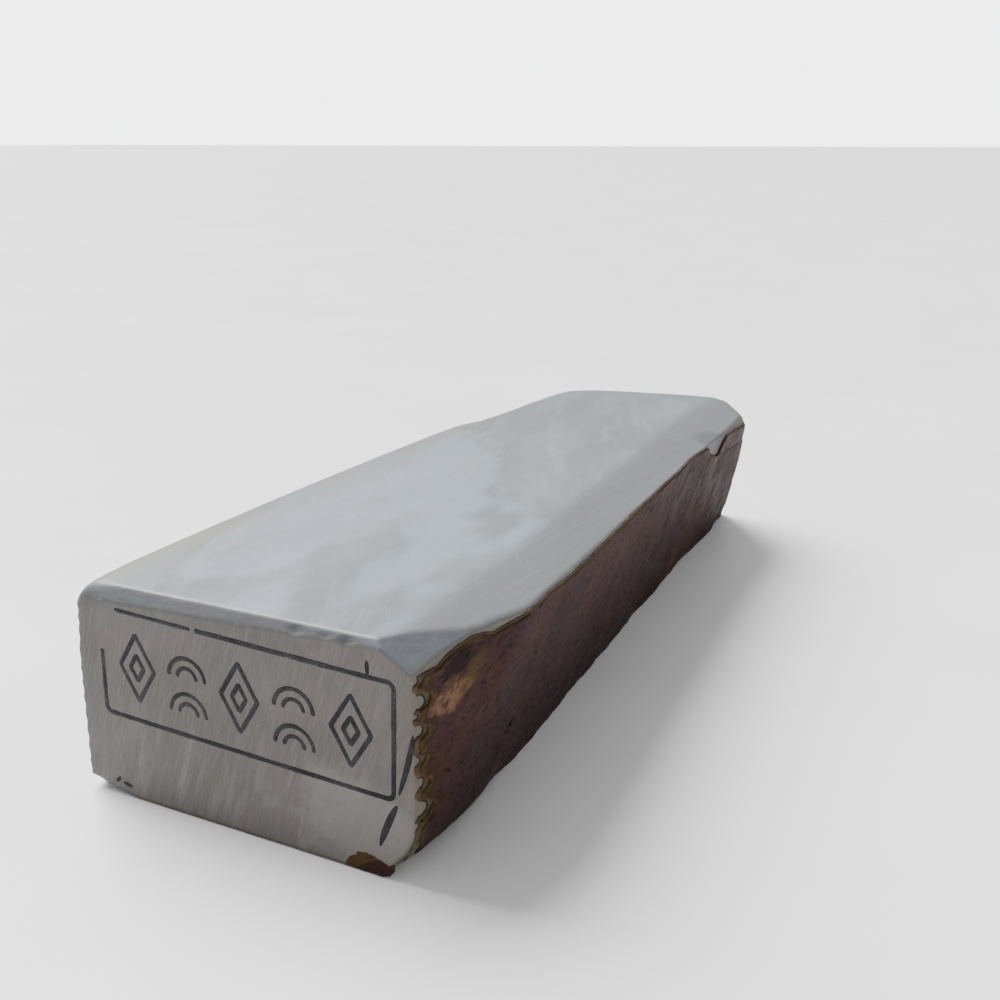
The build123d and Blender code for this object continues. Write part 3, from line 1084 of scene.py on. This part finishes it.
def finishStone():
    c = stoneFinish
    material, add = newFinish("honingStone")
    names = ("honed", "band", "sawn", "ground", "edge", "toSkin")
    honed, band, sawn, ground, edge, toSkin = (mark(add, name) for name in names)
    cloud, fine, streakFine = (pattern(add, c[k]) for k in ("cloud", "fine", "streakFine"))
    across = placeOn(add, 0)
    top = honedTone(add, cloud, across, band)
    end = sawnTone(add, cloud, streakFine, sawn)
    colour = blend(add, maths(add, "MINIMUM", honed, 1.0), end, top)
    # the ground facets, darker over the stamped end than at its corner: partly their own tone, partly
    # painted shade on the chamfer and painted light on the corner facet; and painted shade at the honed
    # face's edges
    groundTone = blend(add, between(add, across, 17.0, 25.0), c["groundTone"], c["facetTone"])
    colour = blend(add, times(add, ground, 0.94), colour, groundTone)
    # painted shade: the honed face darkened towards its rounded edges
    rim = times(add, between(add, edge, 0.04, 0.40), honed)
    colour = blend(add, times(add, rim, 0.8), colour, c["groundTone"])
    # the stone is stained where it nears its skin, and the chip by the far patch is painted darker as
    # painted shade of its hollow
    near = plus(add, toSkin, between(add, cloud, 0.3, 0.7, (-0.5, 0.5)))
    colour = blend(add, between(add, near, 1.0, 0.0, (0.0, 0.38)), colour, c["stain"])
    # painted shade in the chip's hollow by the far patch
    colour = blend(add, times(add, spot(add, c["chip"], cloud), 0.75), colour, c["groundTone"])
    # pale and dark grains
    paleGrain, darkGrain = grains(add, c["paleGrain"]), grains(add, c["darkGrain"])
    colour = blend(add, between(add, paleGrain, 0.10, 0.04, (0.0, 0.22)), colour, c["speck"])
    colour = blend(add, between(add, darkGrain, 0.06, 0.03, (0.0, 0.55)), colour, c["darkSpeck"])
    colour = blend(add, between(add, fine, 0.30, 0.70, (0.0, 0.14)), colour, c["darkSpeck"])
    # broken edges show pale fresh stone, with painted glints of light on them
    glint = between(add, pattern(add, c["glint"]), 0.60, 0.70)
    glint = times(add, glint, between(add, edge, 0.22, 0.48, (0.0, 0.26)))
    colour = blend(add, glint, colour, c["chipPaleAndGlint"])
    scratch = honingMarks(add, cloud, honed)
    colour = blend(add, times(add, scratch, 0.16), colour, c["speck"])
    gloss = between(add, honed, 0.0, 1.0, (c["sawnGloss"], c["honedGloss"]))
    gloss = plus(add, gloss, between(add, cloud, 0.35, 0.65, (-0.05, 0.05)))
    gloss = plus(add, gloss, times(add, scratch, 0.06))
    relief = times(add, fine, between(add, honed, 0.0, 1.0, (0.8, 0.08)))
    relief = plus(add, times(add, streakFine, sawn), relief)
    relief = maths(add, "SUBTRACT", relief, times(add, scratch, 0.05))
    closeFinish(add, colour, gloss, relief, c["bump"])
    return material


beddingTurn = (-side["bedding"], 0, 0)
skinFinish = dict(
    purple=(0.0295, 0.0144, 0.0148),
    rust=(0.0440, 0.0175, 0.0130),
    film=(0.0550, 0.0345, 0.0360),
    orange=(0.088, 0.038, 0.014),
    ochre=(0.076, 0.046, 0.018),
    olive=(0.034, 0.023, 0.011),
    tan=(0.165, 0.092, 0.050),
    pale=(0.094, 0.066, 0.060),
    pit=(0.0040, 0.0025, 0.0025),
    gloss=(0.54, 0.72),  # roughness of the smooth and the dull places
    specular=0.06,
    bump=0.34,
    # cell size in millimetres, turn in degrees, detail, roughness and shift
    slow=((20, 26, 12), beddingTurn, 3.0, 0.6, 21.0),
    patch=((7, 10, 5), beddingTurn, 4.0, 0.65, 23.0),
    grain=((0.9, 1.9, 0.85), level, 5.0, 0.75, 25.0),
    pits=((1.0, 1.5, 0.8), beddingTurn, 2.0, 0.5, 27.0),
    flecks=((1.0, 1.8, 0.9), beddingTurn, 4.0, 0.7, 28.0),
    # centre, half sizes, turn and how torn the rim is
    streak=((34, -64, 25), (20, 4.6, 17), (25, 0, 0), 1.2),
    hollow=((34.3, -92.0, 36.0), (20, 7.5, 2.4), (10, 0, 0), 0.8),
    tail=((34.4, -91.0, 33.4), (20, 6.0, 2.2), (42, 0, 0), 0.5),
    tanned=((33.3, -95.6, 30.6), (20, 5.6, 2.6), (24, 0, 0), 0.9),
    # painted shade on the skin's broken flank by the chip
    chipFlankShade=((29.5, 51.5, 32.6), (20, 3.4, 1.5), (-38, 0, 0), 0.5),
    chipFoot=((29.5, 59.5, 30.3), (20, 2.2, 1.2), level, 0.6),
)


def skinGround(add, slow, patch, grain):
    # purple and rust clouds, a greyer film on the upper part, and a dark and pale grain
    c = skinFinish
    tone = blend(add, between(add, slow, 0.42, 0.60), c["purple"], c["rust"])
    film = between(add, placeOn(add, 2), 3.0, 30.0, (0.0, 0.75))
    tone = blend(add, times(add, between(add, patch, 0.36, 0.70), film), tone, c["film"])
    tone = blend(add, between(add, grain, 0.47, 0.34, (0.0, 0.85)), tone, c["pit"])
    return blend(add, between(add, grain, 0.53, 0.68, (0.0, 0.8)), tone, c["film"])


def skinStains(add, tone, slow, patch, flecks):
    # rusty streaks, and behind the upper front margin a dark hollow, a tan patch and its olive tail
    c = skinFinish
    share = times(add, spot(add, c["streak"], patch), 0.5)
    share = plus(add, share, between(add, slow, 0.45, 0.70, (0.10, 0.45)))
    tone = blend(add, times(add, between(add, flecks, 0.54, 0.70), share), tone, c["orange"])
    tone = blend(add, times(add, spot(add, c["hollow"], patch), 0.55), tone, c["pit"])
    tone = blend(add, times(add, spot(add, c["tail"], patch), 0.6), tone, c["ochre"])
    tanned = times(add, spot(add, c["tanned"], patch), between(add, flecks, 0.34, 0.62, (0.2, 0.95)))
    return blend(add, tanned, tone, c["tan"])


def skinMargins(add, tone, patch, flecks):
    # a broad olive margin along the front with a thin ochre one in it, and a thin one along the top;
    # where the skin breaks down to the chip it is painted dark as painted shade, and it is stained at the
    # chip's foot
    c = skinFinish
    toFront, toTop = mark(add, "toFront"), mark(add, "toTop")
    front = plus(add, toFront, between(add, patch, 0.3, 0.7, (1.1, -1.1)))
    tone = blend(add, between(add, front, 2.3, 0.3, (0.0, 0.8)), tone, c["olive"])
    front = plus(add, toFront, between(add, flecks, 0.4, 0.6, (0.4, -0.4)))
    tone = blend(add, between(add, front, 0.8, 0.1, (0.0, 0.8)), tone, c["ochre"])
    top = plus(add, toTop, between(add, patch, 0.35, 0.65, (0.2, -0.2)))
    tone = blend(add, between(add, top, 0.30, 0.0, (0.0, 0.5)), tone, c["ochre"])
    # painted shade where the skin breaks down to the chip
    tone = blend(add, times(add, spot(add, c["chipFlankShade"], patch), 0.95), tone, c["pit"])
    return blend(add, times(add, spot(add, c["chipFoot"], patch), 0.8), tone, c["orange"])


def finishSkin(name, paler):
    # paler is the share of a pale film over the stains
    c = skinFinish
    material, add = newFinish(name)
    names = ("slow", "patch", "grain", "pits", "flecks")
    slow, patch, grain, pits, flecks = (pattern(add, c[k]) for k in names)
    colour = skinStains(add, skinGround(add, slow, patch, grain), slow, patch, flecks)
    colour = blend(add, paler, colour, c["pale"])
    colour = skinMargins(add, colour, patch, flecks)
    # pits, and gashes with a rusty rim
    gash = mark(add, "gash")
    colour = blend(add, between(add, pits, 0.66, 0.76, (0.0, 0.75)), colour, c["pit"])
    rim = times(add, between(add, gash, 0.01, 0.06), between(add, flecks, 0.42, 0.56))
    colour = blend(add, times(add, rim, 0.7), colour, c["orange"])
    colour = blend(add, between(add, gash, 0.07, 0.20, (0.0, 0.92)), colour, c["pit"])
    relief = plus(add, times(add, grain, 0.8), between(add, pits, 0.62, 0.74, (0.0, -0.7)))
    gloss = between(add, patch, 0.35, 0.65, c["gloss"])
    closeFinish(add, colour, gloss, relief, c["bump"], c["specular"])
    return material


rindFinish = dict(
    ochre=(0.070, 0.043, 0.018),
    olive=(0.050, 0.037, 0.018),
    pale=(0.165, 0.150, 0.108),
    pit=(0.0070, 0.0042, 0.0030),
    gloss=0.7,
    specular=0.3,
    bump=0.20,
    patch=((3.0, 3.0, 3.0), level, 4.0, 0.65, 31.0),
    grain=((0.7, 0.7, 0.7), level, 3.0, 0.6, 33.0),
)


def finishRind():
    # ochre and olive, pale at the foot, and dark in the pits
    c = rindFinish
    material, add = newFinish("stainedLayer")
    patch, grain = pattern(add, c["patch"]), pattern(add, c["grain"])
    colour = blend(add, between(add, patch, 0.40, 0.60), c["olive"], c["ochre"])
    foot = plus(add, placeOn(add, 2), between(add, patch, 0.3, 0.7, (3.0, -3.0)))
    colour = blend(add, between(add, foot, 8.0, 4.0, (0.0, 0.85)), colour, c["pale"])
    colour = blend(add, between(add, grain, 0.55, 0.75, (0.0, 0.25)), colour, c["pale"])
    colour = blend(add, between(add, mark(add, "pit"), 0.10, 0.30, (0.0, 0.96)), colour, c["pit"])
    closeFinish(add, colour, c["gloss"], grain, c["bump"], c["specular"])
    return material


inkFinish = dict(
    dark=(0.006, 0.0055, 0.008),
    faded=(0.026, 0.0245, 0.027),
    bare=(0.095, 0.087, 0.080),
    gloss=0.62,
    specular=0.2,
    bump=0.02,
    slow=((6, 6, 6), level, 3.0, 0.6, 41.0),
    speck=((0.32, 0.32, 0.32), level, 3.0, 0.6, 43.0),
)


def finishInk(name, wear):
    # dry ink, thin in places, with specks where the stone shows through; wear is the most they cover
    c = inkFinish
    material, add = newFinish(name)
    slow, speck = pattern(add, c["slow"]), pattern(add, c["speck"])
    colour = blend(add, between(add, slow, 0.38, 0.66, (0.0, 0.85)), c["dark"], c["faded"])
    most = between(add, slow, 0.36, 0.66, (wear * 0.35, wear))
    colour = blend(add, times(add, between(add, speck, 0.52, 0.66), most), colour, c["bare"])
    closeFinish(add, colour, c["gloss"], speck, c["bump"], c["specular"])
    return material


buildStone(finishStone())
print("stone: rounded, chipped and hollowed from its flat faces")
buildRind(finishRind())
print("stained layer: a crusty sheet between stone and skin")
buildSkin(finishSkin("naturalSkin", 0.0))
buildFarPatch(finishSkin("farSkin", 0.5))
buildScrap(finishSkin("scrapSkin", 0.04))
print("skin: side, far patch and the scrap on the end")
buildInk("stampBorder", "stamp_border", borderLines(), finishInk("borderInk", 0.7), stampPlace)
buildInk("stampFigures", "stamp_figures", figureLines(), finishInk("figureInk", 0.8), stampPlace)
buildInk("brushTicks", "brush_marks", brushLines(), finishInk("brushInk", 0.4), lambda flat: flat)
print("ink: border, figures and brushed ticks")


studio = dict(
    floorSize=40.0,
    floorTone=(0.93, 0.93, 0.93),
    floorGloss=0.45,
    floorCloud=((90, 90, 90), level, 4.0, 0.6, 51.0),
    roomTone=(0.97, 0.98, 1.0),
    roomSeen=4.6,  # brightness of the room as the camera sees it
    roomLight=0.68,  # and as it lights the stone
    # the sun: direction it shines along, soft angle in degrees, strength and colour
    sun=((0.62, -0.25, -0.74), 44, 9.0, (1.0, 1.0, 1.0)),
)

# place in metres, degrees turned about the upright and dipped below level, and lens in millimetres
cameraView = dict(place=(0.1112, -0.2342, 0.112), turn=26.5, dip=17.4, lens=41.4)


def layFloor():
    # a flat sheet with the material of pale honed stone
    half = studio["floorSize"] / 2
    mesh = bpy.data.meshes.new("floor")
    corners = [(-half, -half, 0), (half, -half, 0), (half, half, 0), (-half, half, 0)]
    mesh.from_pydata(corners, [], [(0, 1, 2, 3)])
    floor = bpy.data.objects.new("floor", mesh)
    bpy.context.scene.collection.objects.link(floor)
    material, add = newFinish("paleFloor")
    cloud = pattern(add, studio["floorCloud"])
    tone = studio["floorTone"]
    colour = blend(add, between(add, cloud, 0.35, 0.65), tuple(t * 0.94 for t in tone), tone)
    closeFinish(add, colour, studio["floorGloss"], cloud, 0.0, 0.3)
    mesh.materials.append(material)


def hangSun():
    # one broad soft light from high on the left and a little behind
    way, angle, strength, colour = studio["sun"]
    light = bpy.data.lights.new("softSky", "SUN")
    light.angle, light.energy, light.color = radians(angle), strength, colour
    lamp = bpy.data.objects.new("softSky", light)
    lamp.rotation_euler = Euler((np.arccos(-way[2] / np.linalg.norm(way)), 0, np.arctan2(-way[0], way[1])))
    bpy.context.scene.collection.objects.link(lamp)


def surroundRoom():
    # the world: one tone seen by the camera, a dimmer one for light
    world = bpy.data.worlds.new("paleRoom")
    bpy.context.scene.world = world
    world.use_nodes = True
    tree = world.node_tree
    tree.nodes.clear()
    lit = tree.nodes.new("ShaderNodeBackground")
    seen = tree.nodes.new("ShaderNodeBackground")
    for node, strength in ((lit, studio["roomLight"]), (seen, studio["roomSeen"])):
        node.inputs[0].default_value = (*studio["roomTone"], 1.0)
        node.inputs[1].default_value = strength
    path = tree.nodes.new("ShaderNodeLightPath")
    mix = tree.nodes.new("ShaderNodeMixShader")
    out = tree.nodes.new("ShaderNodeOutputWorld")
    tree.links.new(path.outputs["Is Camera Ray"], mix.inputs[0])
    tree.links.new(lit.outputs[0], mix.inputs[1])
    tree.links.new(seen.outputs[0], mix.inputs[2])
    tree.links.new(mix.outputs[0], out.inputs[0])


def setCamera():
    data = bpy.data.cameras.new("camera")
    data.lens = cameraView["lens"]
    data.clip_start = 0.005
    camera = bpy.data.objects.new("camera", data)
    camera.location = cameraView["place"]
    camera.rotation_euler = Euler((radians(90 - cameraView["dip"]), 0, radians(cameraView["turn"])))
    bpy.context.scene.collection.objects.link(camera)
    bpy.context.scene.camera = camera


layFloor()
hangSun()
surroundRoom()
setCamera()
print("floor, lights and camera are in place")
